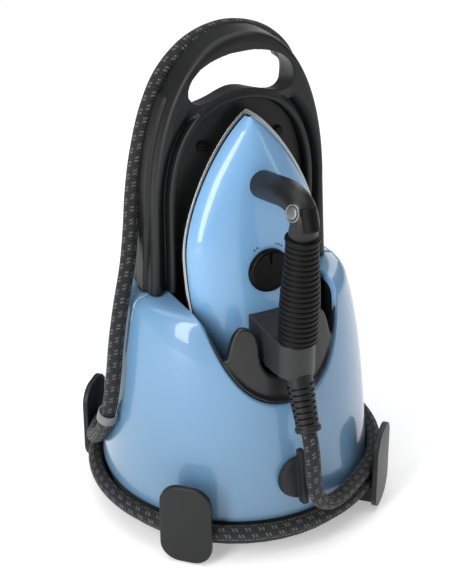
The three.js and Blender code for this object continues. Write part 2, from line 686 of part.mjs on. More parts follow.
function ironHandle() {
  const cover = parked(coverBody(0)).translate([0, -gap, 0]);
  const bend = new THREE.CatmullRomCurve3([
    point(0, -30, 308), point(0, -66, 316), point(0, -92, 321), point(0, -109, 318.5),
    point(0, -116.5, 308.5), point(0, gripTop.y, gripTop.z + 1.5)]);
  const stem = solid(tube(bend, stemRadius, 18, 16)).subtract(cover)
    .subtract(box([-50, -60, 200], [50, 60, 400]).subtract(box([-50, -60, 200], [50, -40, 400])));
  const pocket = join(buttonPocket(), buttonPocket().translate(buttonPress.toArray()));
  const capSeat = rod(fromBend(stemRadius - 0.8 - gap), fromBend(stemRadius + 9), 7.6 + gap, 7.6 + gap, 24);
  add("handle_stem", largest(stem.subtract(pocket).subtract(capSeat)), satin);
  const axis = new THREE.Vector3().subVectors(gripFoot, gripTop);
  const along = (t) => gripTop.clone().addScaledVector(axis, t);
  add("hand_grip", join(
    rod(along(0), along(0.035), 13.6, 13.8, 28), rod(along(0.03), along(0.65), 13.4, 16.6, 28),
    rod(along(0.64), along(0.85), 16.6, 16.6, 28), rod(along(0.84), along(1), 16.6, 15.2, 28)), rubber);
  add("handle_cap", rod(fromBend(stemRadius - 0.8), fromBend(stemRadius + 1.6), 7.6, 7, 24), steel);
  const button = buttonPocket(0.5).intersect(box([-9, -140, 296], [9, -100, 330]));
  add("steam_button", button, rubber);

  const noseY = -106;
  const noseRadius = 16.5;
  const plan = new THREE.Shape();
  plan.moveTo(21, -45);
  plan.lineTo(-21, -45);
  plan.lineTo(-noseRadius, noseY);
  plan.absarc(0, noseY, noseRadius, Math.PI, 2 * Math.PI, false);
  const slope = new THREE.Shape();
  slope.moveTo(-200, bracketTopZ);
  slope.lineTo(gripTop.y + 18, bracketTopZ);
  slope.lineTo(-40, bracketTopZ + 9);
  slope.lineTo(-40, bracketTopZ + 90);
  slope.lineTo(-200, bracketTopZ + 90);
  const above = solid(new THREE.ExtrudeGeometry(slope, { depth: 80, bevelEnabled: false })
    .rotateX(Math.PI / 2).rotateZ(Math.PI / 2).translate(-40, 0, 0));
  const bracket = prism(plan, bracketFootZ, bracketTopZ + 20, 16).subtract(cover).subtract(above);
  add("rear_bracket", largest(bracket), satin);
  add("strain_relief", strainRelief(), satin);
}

// The biggest of a cut body's separate pieces.
function largest(body) {
  return body.decompose().reduce((best, piece) => (piece.volume() > best.volume() ? piece : best));
}

const buttonPress = point(0, 0.932, -0.362).multiplyScalar(2.3); // the way the button goes in

// Where the steam button sits on the outside of the stem's bend.
function buttonPocket(inset = 0) {
  const centre = point(0, -117, 311);
  const pocket = rod(
    centre.clone().add(point(0, 4, 9)), centre.clone().add(point(0, -3, -9)), 7.5 - inset, 7.5 - inset, 16);
  return pocket.translate([0, -7.5, 2.5]);
}

const reliefTop = point(0, -112, bracketFootZ - gap);
const reliefEnd = point(0, -131, 124);
const reliefCollar = 11;

function reliefReach() {
  const axis = new THREE.Vector3().subVectors(reliefEnd, reliefTop).normalize();
  return -reliefEnd.y - axis.z * reliefCollar;
}

function strainRelief() {
  const axis = new THREE.Vector3().subVectors(reliefEnd, reliefTop).normalize();
  const above = reliefTop.clone().addScaledVector(axis, -12);
  const collar = reliefEnd.clone().addScaledVector(axis, -4);
  return join(rod(above, reliefEnd, 11.8, 9.8, 24), rod(collar, reliefEnd, reliefCollar, reliefCollar, 24))
    .subtract(box([-30, -200, reliefTop.z], [30, 0, reliefTop.z + 60]));
}

// ---- steam hose -----------------------------------------------------------------------------
// From the strain relief down past the drain cap, round the four hooks for one and three quarter
// turns, up the left side, over the saddle and down behind the right upright to its inlet.
function hoseRoute() {
  const drop = [
    point(0, -131.2, 123.4), point(0, -135.6, 113), point(0, -139.2, 99), point(1, -140, 82),
    point(4, -139.5, 66), point(12, -137, 53), point(26, -131.5, 46), point(44, -121.5, 43),
  ];
  const turns = [];
  const stepDegrees = 11.25;
  for (let degrees = 45; degrees < 586; degrees += stepDegrees) {
    const angle = THREE.MathUtils.degToRad(degrees);
    const z = degrees < 360
      ? THREE.MathUtils.lerp(highTurnZ, lowTurnZ, THREE.MathUtils.smoothstep(degrees, 168, 192))
      : THREE.MathUtils.lerp(lowTurnZ, highTurnZ, THREE.MathUtils.smoothstep(degrees, 528, 552));
    const bulge = 1 - THREE.MathUtils.smoothstep(Math.abs(degrees - 540), 13, 33);
    const radius = windingRadius + bulge * (hoseDiameter + 0.6);
    turns.push(point(radius * Math.sin(angle), -radius * Math.cos(angle), z));
  }
  const climbUp = [
    point(-111.5, 60, 44), point(-120.5, 31, 61), point(-124.6, 4, 88), point(-123.2, -8, 116),
    point(-120, -11, 146), point(-115.3, -8.5, 176), point(-107.5, -3.5, 208), point(-97, 5, 238),
    point(-89.5, 13.5, 265), point(-84.3, 19.2, 294), point(-79, 19.3, 328), point(-68.5, 19.3, 367),
    point(-54, 19.3, 395), point(-30, 19.3, 415.5), point(0, 19.3, 422.8), point(30, 19.3, 415.5),
    point(49, 19.5, 401), point(60.5, 23, 384), point(65, 31, 362), point(66, 35, 335),
    point(66, 37, 290), point(66, 39.5, 252), point(hoseInlet.x, hoseInlet.y, roofZ + hoseInletTop + gap),
  ];
  return [...drop, ...turns, ...climbUp];
}

const hoseCurve = new THREE.CatmullRomCurve3(hoseRoute(), false, "centripetal");
const hoseSteps = 80;
const clipZ = 104; // where the clip holds the rising hose

function steamHose() {
  add("steam_hose", tube(hoseCurve, hoseRadius, hoseSteps, hoseSides), black);
}

function hoseClip() {
  const shares = Array.from({ length: 400 }, (_, i) => 0.5 + (i / 400) * 0.3);
  const share = shares.reduce((best, u) => {
    const miss = Math.abs(hoseCurve.getPointAt(u).z - clipZ);
    return miss < Math.abs(hoseCurve.getPointAt(best).z - clipZ) ? u : best;
  });
  const at = hoseCurve.getPointAt(share);
  const along = hoseCurve.getTangentAt(share);
  const from = (distance) => at.clone().addScaledVector(along, distance);
  const ring = rod(from(-5), from(5), hoseRadius + 2.3, hoseRadius + 2.3, 20)
    .subtract(rod(from(-9), from(9), hoseRadius + 1, hoseRadius + 1, 20))
    .subtract(box([at.x + 4, at.y - 3, at.z - 20], [at.x + 12, at.y + 3, at.z + 20]));
  add("hose_clip", ring, { color: 0x8d9094, roughness: 0.4, metalness: 0 });
}

basePan();
outerShell();
cradleLiner();
standArch();
restPlate();
cordHooks();
panScrews();
drain();
boilerWorks();
waterTank();
baseFittings();
ironShoe();
ironHandle();
hoseClip();
steamHose();

export default group;
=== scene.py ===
"""A steam generator clothes iron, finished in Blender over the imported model."""

import json
from math import acos, atan2, cos, pi, radians, sin, sqrt

import bmesh
import bpy
from mathutils import Matrix, Vector


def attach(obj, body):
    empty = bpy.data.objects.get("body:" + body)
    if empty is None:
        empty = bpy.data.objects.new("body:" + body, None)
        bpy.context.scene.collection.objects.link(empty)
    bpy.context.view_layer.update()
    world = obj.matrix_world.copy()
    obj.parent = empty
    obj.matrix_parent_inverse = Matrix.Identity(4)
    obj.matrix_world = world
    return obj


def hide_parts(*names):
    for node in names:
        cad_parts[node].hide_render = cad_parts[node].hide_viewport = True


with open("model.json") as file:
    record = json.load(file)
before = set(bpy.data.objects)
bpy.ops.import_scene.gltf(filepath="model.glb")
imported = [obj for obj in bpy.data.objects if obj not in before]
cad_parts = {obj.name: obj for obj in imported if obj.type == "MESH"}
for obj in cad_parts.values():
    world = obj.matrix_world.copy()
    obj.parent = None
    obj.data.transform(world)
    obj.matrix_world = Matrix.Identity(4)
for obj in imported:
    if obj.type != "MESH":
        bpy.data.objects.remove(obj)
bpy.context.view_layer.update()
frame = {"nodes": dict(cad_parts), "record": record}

MM = 0.001

# Sizes of the object in millimetres, the same as in the part's source.
GAP = 0.3
BASE_RADIUS = 118.5
FOOT_Z = 33.0
ROOF_Z = 211.0
SHOULDER_RADIUS = 100.0
FRONT_DRAFT = 0.09 / 107
SCOOP_HALF = 64.0
LIP_Z = 134.5
ARCH_TOP = 428.0
ARCH_HALF = 83.5
ARCH_FRONT = -14.0
ARCH_BACK = 12.0
RECESS_HALF = 60.5
RECESS_TOP = 372.5
RECESS_FLOOR = -4.7
HOSE_RADIUS = 6.5
WINDING_RADIUS = BASE_RADIUS + HOSE_RADIUS + 0.5
SOLE_LENGTH = 222.0
SOLE_HALF = 63.0
IRON_HEEL = Vector((0, -36.5, 145.5))
IRON_LEAN = radians(5)
GRIP_TOP = Vector((0, -114.5, 295))
GRIP_FOOT = Vector((0, -110.5, 200))
RELIEF_TOP = Vector((0, -112, 167.7))
RELIEF_END = Vector((0, -131, 124))


# ---- small helpers ---------------------------------------------------------------------------
def lerp(a, b, t):
    return a + (b - a) * t


def smooth(t):
    t = min(1.0, max(0.0, t))
    return t * t * (3 - 2 * t)


def bezier(points, t):
    """The point at t on a cubic curve given by four points."""
    a, b, c, d = points
    s = 1 - t
    weights = (s * s * s, 3 * s * s * t, 3 * s * t * t, t * t * t)
    return tuple(sum(w * p[i] for w, p in zip(weights, (a, b, c, d))) for i in range(len(a)))


class Line:
    """A polyline that is read by its length."""

    def __init__(self, points):
        self.points = [Vector(p) for p in points]
        self.at = [0.0]
        for a, b in zip(self.points, self.points[1:]):
            self.at.append(self.at[-1] + (b - a).length)
        self.length = self.at[-1]

    def __call__(self, distance):
        distance = min(max(distance, 0.0), self.length)
        low, high = 0, len(self.at) - 1
        while high - low > 1:
            middle = (low + high) // 2
            if self.at[middle] <= distance:
                low = middle
            else:
                high = middle
        span = self.at[high] - self.at[low]
        return self.points[low].lerp(self.points[high], (distance - self.at[low]) / max(span, 1e-9))

    def share(self, t):
        return self(t * self.length)

    def along(self, distance, reach=0.6):
        return (self(distance + reach) - self(distance - reach)).normalized()


def chain(*parts, steps=24):
    """Joins straight lines (two points) and cubic curves (four points) into a list of points."""
    points = []
    for part in parts:
        if len(part) == 2:
            new = [tuple(part[0]), tuple(part[1])]
        else:
            new = [bezier(part, i / steps) for i in range(steps + 1)]
        points.extend(new[1:] if points else new)
    return points


def finish_mesh(bm, name, body, material, replaces=()):
    """Turns mesh work in millimetres into a piece of the object."""
    bmesh.ops.scale(bm, vec=(MM, MM, MM), verts=bm.verts)
    bmesh.ops.recalc_face_normals(bm, faces=bm.faces)
    mesh = bpy.data.meshes.new(name)
    bm.to_mesh(mesh)
    bm.free()
    piece = bpy.data.objects.new(name, mesh)
    bpy.context.scene.collection.objects.link(piece)
    for face in mesh.polygons:
        face.use_smooth = True
    mesh.materials.append(material)
    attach(piece, body)
    if replaces:
        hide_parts(*replaces)
    return piece


def grid(columns, rows, place, closed=False, merge=0.004):
    """A sheet of columns x rows quads, put in place by place(u, v), with u and v from 0 to 1."""
    bm = bmesh.new()
    uv = bm.loops.layers.uv.new("UVMap")
    bmesh.ops.create_grid(bm, x_segments=columns, y_segments=rows, size=0.5)
    for face in bm.faces:
        for loop in face.loops:
            loop[uv].uv = (loop.vert.co.x + 0.5, loop.vert.co.y + 0.5)
    for vert in bm.verts:
        vert.co = Vector(place(vert.co.x + 0.5, vert.co.y + 0.5))
    if closed:
        bmesh.ops.remove_doubles(bm, verts=bm.verts, dist=merge)
    return bm


def swept(line, ring, columns, around, up=Vector((0, 0, 1))):
    """A closed section carried along a line. ring(t, angle) gives (side, rise) from the line."""
    frames = []
    tangent = line.along(0)
    side = tangent.cross(up).normalized()
    if side.length < 0.5:
        side = Vector((1, 0, 0))
    for i in range(columns + 1):
        new = line.along(line.length * i / columns)
        side = (tangent.rotation_difference(new) @ side).normalized()
        tangent = new
        frames.append((side.copy(), side.cross(new).normalized()))

    def place(u, v):
        i = round(u * columns)
        side_axis, rise_axis = frames[i]
        side_by, rise_by = ring(i / columns, 2 * pi * v)
        return line.share(i / columns) + side_axis * side_by + rise_axis * rise_by

    bm = grid(columns, around, place, closed=True)
    edges = [e for e in bm.edges if e.is_boundary]
    bmesh.ops.holes_fill(bm, edges=edges, sides=0)
    return bm


def rounded(radius):
    """The ring of a round bar, for swept()."""
    return lambda t, angle: (radius * cos(angle), radius * sin(angle))


def prism(points, low, high):
    """A flat outline of (x, z) points pushed along Y, from one depth to another."""
    bm = bmesh.new()
    bmesh.ops.create_circle(bm, cap_ends=True, segments=len(points), radius=1)
    bm.verts.ensure_lookup_table()
    ordered = sorted(bm.verts, key=lambda v: atan2(v.co.y, v.co.x) % (2 * pi))
    for vert, (a, b) in zip(ordered, points):
        vert.co = Vector((a, low, b))
    new = bmesh.ops.extrude_face_region(bm, geom=bm.faces[:])["geom"]
    far = [g for g in new if isinstance(g, bmesh.types.BMVert)]
    bmesh.ops.translate(bm, vec=Vector((0, high - low, 0)), verts=far)
    bmesh.ops.recalc_face_normals(bm, faces=bm.faces)
    return bm


def stacked(rings):
    """A solid through (outline, y) rings of equally many (x, z) points, one behind the other."""
    count = len(rings[0][0])

    def place(u, v):
        points, y = rings[round(v * (len(rings) - 1))]
        x, z = points[round(u * count) % count]
        return x, y, z

    bm = grid(count, len(rings) - 1, place, closed=True)
    bmesh.ops.holes_fill(bm, edges=bm.edges, sides=0)
    bmesh.ops.recalc_face_normals(bm, faces=bm.faces)
    return bm


def turned(profile, segments, axis, centre):
    """A profile of (radius, height) points spun about Z, then stood on an axis at a centre."""
    bm = bmesh.new()
    verts = [bm.verts.new((r, 0, z)) for r, z in profile]
    edges = [bm.edges.new(pair) for pair in zip(verts, verts[1:])]
    bmesh.ops.spin(bm, geom=verts + edges, cent=(0, 0, 0), axis=(0, 0, 1), angle=2 * pi,
                   steps=segments, use_merge=True)
    bmesh.ops.remove_doubles(bm, verts=bm.verts, dist=0.003)
    turn = Vector((0, 0, 1)).rotation_difference(Vector(axis)).to_matrix().to_4x4()
    bmesh.ops.transform(bm, matrix=Matrix.Translation(centre) @ turn, verts=bm.verts)
    return bm


def lump(bm, other):
    """Adds the second mesh to the first."""
    mesh = bpy.data.meshes.new("part")
    other.to_mesh(mesh)
    other.free()
    bm.from_mesh(mesh)
    bpy.data.meshes.remove(mesh)
    return bm


def worker(bm, name):
    """A throwaway object for a boolean, in millimetres."""
    bmesh.ops.recalc_face_normals(bm, faces=bm.faces)
    mesh = bpy.data.meshes.new(name)
    bm.to_mesh(mesh)
    bm.free()
    made = bpy.data.objects.new(name, mesh)
    bpy.context.scene.collection.objects.link(made)
    return made


def evaluated(base, helpers):
    """The finished mesh of a worker object, whose objects are then thrown away."""
    graph = bpy.context.evaluated_depsgraph_get()
    bm = bmesh.new()
    bm.from_mesh(base.evaluated_get(graph).to_mesh())
    for thing in [base] + helpers:
        mesh = thing.data
        bpy.data.objects.remove(thing)
        bpy.data.meshes.remove(mesh)
    return bm


def carved(bm, cutter):
    """One solid with another cut out of it, crisp."""
    base = worker(bm, "work")
    tool = worker(cutter, "tool")
    step = base.modifiers.new("cut", "BOOLEAN")
    step.operation = "DIFFERENCE"
    step.object = tool
    step.solver = "EXACT"
    return evaluated(base, [tool])


def moulded(add, cut, voxel, rounds):
    """Solids joined and cut, then remeshed and relaxed so that their edges come out soft."""
    base = worker(add[0], "work")
    helpers = []
    for bm, kind in [(b, "UNION") for b in add[1:]] + [(b, "DIFFERENCE") for b in cut]:
        tool = worker(bm, "tool")
        helpers.append(tool)
        step = base.modifiers.new("cut", "BOOLEAN")
        step.operation = kind
        step.object = tool
        step.solver = "EXACT"
    remesh = base.modifiers.new("remesh", "REMESH")
    remesh.mode = "VOXEL"
    remesh.voxel_size = voxel
    relax = base.modifiers.new("relax", "SMOOTH")
    relax.factor = 0.5
    relax.iterations = rounds
    return evaluated(base, helpers)


# ---- shader maths ------------------------------------------------------------------------------
class Val:
    """A number or colour in a material's node tree, so that it can be used in sums."""

    def __init__(self, tree, socket):
        self.tree = tree
        self.socket = socket

    def math(self, operation, *others, flipped=False):
        node = self.tree.nodes.new("ShaderNodeMath")
        node.operation = operation
        values = [self, *others]
        if flipped:
            values.reverse()
        for slot_in, value in zip(node.inputs, values):
            put(self.tree, slot_in, value)
        return Val(self.tree, node.outputs[0])

    def __add__(self, other):
        return self.math("ADD", other)

    def __radd__(self, other):
        return self.math("ADD", other)

    def __sub__(self, other):
        return self.math("SUBTRACT", other)

    def __rsub__(self, other):
        return self.math("SUBTRACT", other, flipped=True)

    def __mul__(self, other):
        return self.math("MULTIPLY", other)

    def __rmul__(self, other):
        return self.math("MULTIPLY", other)

    def __truediv__(self, other):
        return self.math("DIVIDE", other)

    def __lt__(self, other):
        return self.math("LESS_THAN", other)

    def __gt__(self, other):
        return self.math("GREATER_THAN", other)

    def fract(self):
        return self.math("FRACT")

    def floor(self):
        return self.math("FLOOR")

    def wrap(self, size):
        return self.math("FLOORED_MODULO", size)

    def absolute(self):
        return self.math("ABSOLUTE")

    def low(self, other):
        return self.math("MINIMUM", other)

    def spread(self, low, high, to_low=0.0, to_high=1.0):
        """This value stretched from one range to another, and held to it."""
        node = self.tree.nodes.new("ShaderNodeMapRange")
        for name, value in zip(("Value", "From Min", "From Max", "To Min", "To Max"),
                               (self, low, high, to_low, to_high)):
            put(self.tree, node.inputs[name], value)
        return Val(self.tree, node.outputs[0])

    def blend(self, first, second):
        """The first colour where this is 0 and the second where it is 1."""
        node = self.tree.nodes.new("ShaderNodeMix")
        node.data_type = "RGBA"
        put(self.tree, node.inputs["Factor"], self)
        put(self.tree, node.inputs[6], first)
        put(self.tree, node.inputs[7], second)
        return Val(self.tree, node.outputs[2])


def put(tree, socket, value):
    if isinstance(value, Val):
        tree.links.new(value.socket, socket)
    elif isinstance(value, (tuple, list)):
        socket.default_value = (*value, 1.0)
    else:
        socket.default_value = value


class Finish:
    """A material on one Principled shader, with its places and textures."""

    def __init__(self, name):
        self.material = bpy.data.materials.new(name)
        self.material.use_nodes = True
        self.tree = self.material.node_tree
        self.shader = self.tree.nodes["Principled BSDF"]

    def node(self, kind, output=0, inputs=None, **settings):
        node = self.tree.nodes.new(kind)
        for key, value in settings.items():
            setattr(node, key, value)
        for key, value in (inputs or {}).items():
            put(self.tree, node.inputs[key], value)
        return Val(self.tree, node.outputs[output])

    def place(self):
        return self.node("ShaderNodeTexCoord", "Object")

    def uv(self):
        split = self.tree.nodes.new("ShaderNodeSeparateXYZ")
        put(self.tree, split.inputs[0], self.node("ShaderNodeTexCoord", "UV"))
        return Val(self.tree, split.outputs[0]), Val(self.tree, split.outputs[1])

    def axes(self):
        split = self.tree.nodes.new("ShaderNodeSeparateXYZ")
        put(self.tree, split.inputs[0], self.place())
        return tuple(Val(self.tree, split.outputs[i]) for i in range(3))

    def noise(self, scale, detail=3.0, stretch=None, roughness=0.5):
        place = self.place()
        if stretch:
            place = self.node("ShaderNodeMapping", inputs={"Vector": place, "Scale": Vector(stretch)})
        return self.node("ShaderNodeTexNoise", "Fac", inputs={
            "Vector": place, "Scale": scale, "Detail": detail, "Roughness": roughness})

    def cells(self, scale):
        return self.node("ShaderNodeTexVoronoi", "Distance", feature="F1",
                         inputs={"Vector": self.place(), "Scale": scale})

    def set(self, **values):
        for key, value in values.items():
            put(self.tree, self.shader.inputs[key.replace("_", " ")], value)
        return self

    def bump(self, height, depth, strength=1.0):
        self.set(Normal=self.node("ShaderNodeBump", inputs={
            "Height": height, "Distance": depth, "Strength": strength}))
        return self


def moulded_plastic(name, colour, roughness, grain=2600.0, depth=0.00006, wear=0.03, shine=0.32):
    """Plastic with a fine spark-eroded grain and slightly uneven shine."""
    finish = Finish(name)
    broad = finish.noise(28.0, 4.0)
    fine = finish.noise(grain, 2.0)
    dust = finish.noise(240.0, 6.0, roughness=0.7)
    tint = broad.spread(0.3, 0.7)
    lighter = tuple(c * (1 + wear * 6) + wear * 0.02 for c in colour)
    finish.set(Base_Color=tint.blend(colour, lighter),
               Roughness=roughness + (broad - 0.5) * 0.08 + (dust - 0.5) * 0.07)
    finish.bump(fine + dust * 0.3, depth)
    finish.set(Specular_IOR_Level=shine)
    return finish


# Each blue at the foot of the station and from 17 cm up; the darker blue at the foot is painted shade,
# not a second colour.
BASE_BLUE_WITH_PAINTED_SHADE = ((0.112, 0.215, 0.325), (0.160, 0.325, 0.53))
IRON_BLUE_WITH_PAINTED_SHADE = ((0.16, 0.34, 0.57), (0.20, 0.41, 0.68))


def shell_blue(name, low, high):
    """Glossy light blue shell: clear skin over a colour with painted shade that darkens it towards the
    foot.
    """
    finish = Finish(name)
    flow = finish.noise(9.0, 3.0, stretch=(1, 1, 0.4))
    specks = finish.noise(900.0, 2.0)
    peel = finish.noise(160.0, 1.0)
    height = finish.axes()[2]
    # Painted shade: the base colour is darkened by height towards the foot; the flow noise adds real
    # uneven tone.
    share = height.spread(0.0, 0.17, 0.0, 0.8) + flow.spread(0.3, 0.7, 0.0, 0.2)
    finish.set(Base_Color=share.blend(low, high),
               Roughness=0.34 + (specks - 0.5) * 0.06 + (flow - 0.5) * 0.05,
               Coat_Weight=0.9 + (flow - 0.5) * 0.1)
    finish.set(Coat_Roughness=0.05, Coat_IOR=1.45, Specular_IOR_Level=0.35)
    finish.bump(peel * 0.8 + specks * 0.04, 0.00005, 0.5)
    return finish.material


def black_satin():
    """The black of the arch, hooks, stem and sleeve."""
    return moulded_plastic("black_satin", (0.009, 0.0093, 0.0098), 0.4).material


def heel_black():
    """A slightly greyer black for the block that the grip stands on."""
    return moulded_plastic("heel_black", (0.02, 0.0205, 0.0215), 0.42, shine=0.4).material


def dial_black():
    """The deepest black, on the dial."""
    return moulded_plastic("dial_black", (0.002, 0.002, 0.0022), 0.32, wear=0.01, shine=0.12).material


def black_matte():
    """Coarser-grained black of the pan, lid, switch and drain cap."""
    return moulded_plastic("black_matte", (0.014, 0.0145, 0.0155), 0.46,
                           grain=1900.0, depth=0.0001).material


def rubber_black():
    """Dull rubber of the grip, feet and steam button."""
    return moulded_plastic("rubber_black", (0.003, 0.003, 0.0032), 0.46,
                           grain=1500.0, depth=0.00015, shine=0.16).material


def liner_mesh_black():
    """The cradle's lining, with the fine square grid that is moulded into its inner side walls."""
    finish = moulded_plastic("liner_black", (0.01, 0.0103, 0.011), 0.33, shine=0.5)
    x, y, z = finish.axes()
    pitch = 3.2 * MM
    across = (y / pitch).fract() - 0.5
    up = (z / pitch).fract() - 0.5
    hole = (across.absolute() < 0.3) * (up.absolute() < 0.3)
    side = (x.absolute() > 0.046) * (z > 0.158) * (z < 0.204) * (y < -0.015) * (y > -0.085)
    grain = finish.noise(2600.0, 2.0)
    finish.bump(grain * 0.02 - hole * side, 0.0006, 1.0)
    return finish.material


def satin_metal():
    """Satin silver skin of the small cap."""
    finish = Finish("satin_metal")
    cloud = finish.noise(300.0, 4.0)
    finish.set(Base_Color=cloud.blend((0.20, 0.203, 0.206), (0.26, 0.263, 0.267)),
               Roughness=0.42 + (cloud - 0.5) * 0.1)
    finish.set(Metallic=0.85)
    finish.bump(cloud, 0.00003, 0.5)
    return finish.material


def polished_steel():
    """Polished metal with fine lengthwise scratches."""
    finish = Finish("polished_steel")
    scratch = finish.noise(260.0, 5.0, stretch=(14, 1, 0.6), roughness=0.7)
    haze = finish.noise(40.0, 3.0)
    finish.set(Base_Color=haze.blend((0.42, 0.43, 0.44), (0.52, 0.53, 0.54)),
               Roughness=0.24 + (scratch - 0.5) * 0.12 + (haze - 0.5) * 0.06)
    finish.set(Metallic=1.0)
    finish.bump(scratch, 0.00002, 0.4)
    return finish.material


def sheet_steel():
    """Drawn steel sheet, brushed one way with a little tarnish."""
    finish = Finish("steel")
    brush = finish.noise(120.0, 6.0, stretch=(0.4, 1, 18), roughness=0.8)
    tarnish = finish.noise(22.0, 4.0)
    finish.set(Base_Color=tarnish.spread(0.35, 0.75).blend((0.50, 0.51, 0.52), (0.40, 0.39, 0.37)),
               Roughness=0.3 + (brush - 0.5) * 0.2)
    finish.set(Metallic=1.0)
    finish.bump(brush, 0.00003, 0.5)
    return finish.material


def cast_aluminium():
    """Die-cast metal with a fine pebbled skin."""
    finish = Finish("cast_aluminium")
    pebble = finish.cells(900.0)
    cloud = finish.noise(35.0, 4.0)
    finish.set(Base_Color=cloud.blend((0.42, 0.43, 0.44), (0.52, 0.53, 0.54)),
               Roughness=0.46 + (cloud - 0.5) * 0.14)
    finish.set(Metallic=1.0)
    finish.bump(pebble, 0.00012, 0.6)
    return finish.material


def tank_smoke():
    """Smoke grey glossy plastic of the water tank."""
    finish = Finish("tank_smoke")
    cloud = finish.noise(14.0, 3.0)
    fine = finish.noise(700.0, 2.0)
    finish.set(Base_Color=cloud.blend((0.035, 0.042, 0.05), (0.05, 0.058, 0.068)),
               Roughness=0.16 + (fine - 0.5) * 0.06)
    finish.set(Coat_Weight=0.5, Coat_Roughness=0.05)
    finish.bump(fine, 0.00002, 0.4)
    return finish.material


def board_green():
    """Circuit board with a regular net of traces."""
    finish = Finish("board_green")
    x, y, z = finish.axes()
    trace = ((y * 420.0).fract() < 0.25) + ((z * 300.0).fract() < 0.2)
    finish.set(Base_Color=trace.low(1.0).blend((0.01, 0.07, 0.025), (0.03, 0.14, 0.05)),
               Roughness=0.35 + trace * 0.1)
    return finish.material


def lens_clear():
    """A frosted signal lens."""
    finish = Finish("lens_clear")
    frost = finish.noise(900.0, 3.0)
    finish.set(Base_Color=frost.blend((0.55, 0.68, 0.5), (0.65, 0.78, 0.6)),
               Roughness=0.22 + (frost - 0.5) * 0.1)
    finish.bump(frost, 0.00005, 0.5)
    return finish.material


def clip_grey():
    """Light grey plastic of the hose clip."""
    return moulded_plastic("clip_grey", (0.16, 0.165, 0.17), 0.4, grain=2000.0, depth=0.00008).material


YARN_PITCH = 3.1
YARNS_ROUND = 14.0
FLECK_PITCH = 11.0
FLECK_ROWS = 7.0


def hose_braid():
    """Woven sleeve: black yarns crossing both ways, with pairs of light grey flecks."""
    finish = Finish("hose_braid")
    along, around = finish.uv()
    length = along * HOSE_LENGTH
    turn = around * YARNS_ROUND
    yarn_a = (length / YARN_PITCH + turn).fract()
    yarn_b = (length / YARN_PITCH - turn).fract()
    over = ((length / YARN_PITCH + turn).floor() + (length / YARN_PITCH - turn).floor()).wrap(2.0)
    ridge_a = 1.0 - ((yarn_a - 0.5) * 2.0).absolute()
    ridge_b = 1.0 - ((yarn_b - 0.5) * 2.0).absolute()
    weave = over * ridge_a + (1.0 - over) * ridge_b
    row = (around * FLECK_ROWS).floor()
    cell = length / FLECK_PITCH + row * 0.5 + (around * FLECK_ROWS).fract() * 0.22
    run = cell.fract()
    dash = (run > 0.10) * (run < 0.25) + (run > 0.36) * (run < 0.51)
    lane = ((around * FLECK_ROWS).fract() - 0.5).absolute() < 0.27
    fuzz = finish.noise(1500.0, 4.0, roughness=0.7)
    fleck = dash * lane * (fuzz > 0.36)
    finish.set(Base_Color=fleck.blend((0.004, 0.004, 0.0045), (0.085, 0.087, 0.09)),
               Roughness=0.62 + fuzz * 0.2)
    finish.set(Sheen_Weight=0.1, Sheen_Roughness=0.4)
    finish.bump(weave + fuzz * 0.35 + fleck * 0.2, 0.0006, 0.9)
    return finish.material


def floor_white():
    """Plain pale studio floor that glows a little, so that it stays white."""
    finish = Finish("floor_white")
    cloud = finish.noise(3.0, 2.0)
    finish.set(Base_Color=cloud.blend((0.86, 0.86, 0.86), (0.88, 0.88, 0.88)),
               Roughness=0.55 + (cloud - 0.5) * 0.02)
    finish.set(Emission_Color=(1.0, 1.0, 1.0), Emission_Strength=0.36, Specular_IOR_Level=0.0)
    return finish.material


# ---- camera, light and floor ---------------------------------------------------------------------
WORLD_LIGHT = 0.2
# Name, place, aim, size and power of each soft lamp, in metres and watts.
LAMPS = [
    ("key", (-1.5, -0.75, 1.0), (0, 0, 0.2), (0.5, 1.9), 28.0),
    ("fill", (1.3, -1.0, 0.7), (0, 0, 0.2), (0.3, 1.2), 2.2),
    ("top", (0.0, 0.1, 2.2), (0, 0, 0.0), (2.4, 2.4), 33.0),
    ("rim", (1.0, 1.0, 0.9), (0, 0, 0.28), (0.4, 1.2), 3.0),
]


def place_camera():
    """Looks down on the station from its front left."""
    camera_data = bpy.data.cameras.new("camera")
    camera_data.lens = 101.2
    camera_data.sensor_width = 36.0
    camera_data.clip_start = 0.05
    camera = bpy.data.objects.new("camera", camera_data)
    bpy.context.scene.collection.objects.link(camera)
    target = Vector((-0.0003, 0.0002, 0.1886))
    camera.location = Vector((-0.5747, -1.0985, 0.8758))
    camera.rotation_euler = (target - camera.location).to_track_quat("-Z", "Y").to_euler()
    bpy.context.scene.camera = camera
    bpy.context.scene.view_settings.view_transform = "Standard"


def place_lamps():
    world = bpy.data.worlds.new("studio")
    world.use_nodes = True
    world.node_tree.nodes["Background"].inputs["Color"].default_value = (1.0, 1.0, 1.0, 1)
    world.node_tree.nodes["Background"].inputs["Strength"].default_value = WORLD_LIGHT
    bpy.context.scene.world = world
    for name, place, aim, size, power in LAMPS:
        light = bpy.data.lights.new(name, "AREA")
        light.shape = "RECTANGLE"
        light.size, light.size_y = size
        light.energy = power
        lamp = bpy.data.objects.new(name, light)
        lamp.location = place
        lamp.rotation_euler = (Vector(aim) - Vector(place)).to_track_quat("-Z", "Y").to_euler()
        bpy.context.scene.collection.objects.link(lamp)


def lay_floor():
    bm = bmesh.new()
    bmesh.ops.create_grid(bm, x_segments=4, y_segments=4, size=6.0)
    mesh = bpy.data.meshes.new("floor")
    bm.to_mesh(mesh)
    bm.free()
    floor = bpy.data.objects.new("floor", mesh)
    floor.location = (0, 0, -0.0005)
    mesh.materials.append(floor_white())
    bpy.context.scene.collection.objects.link(floor)


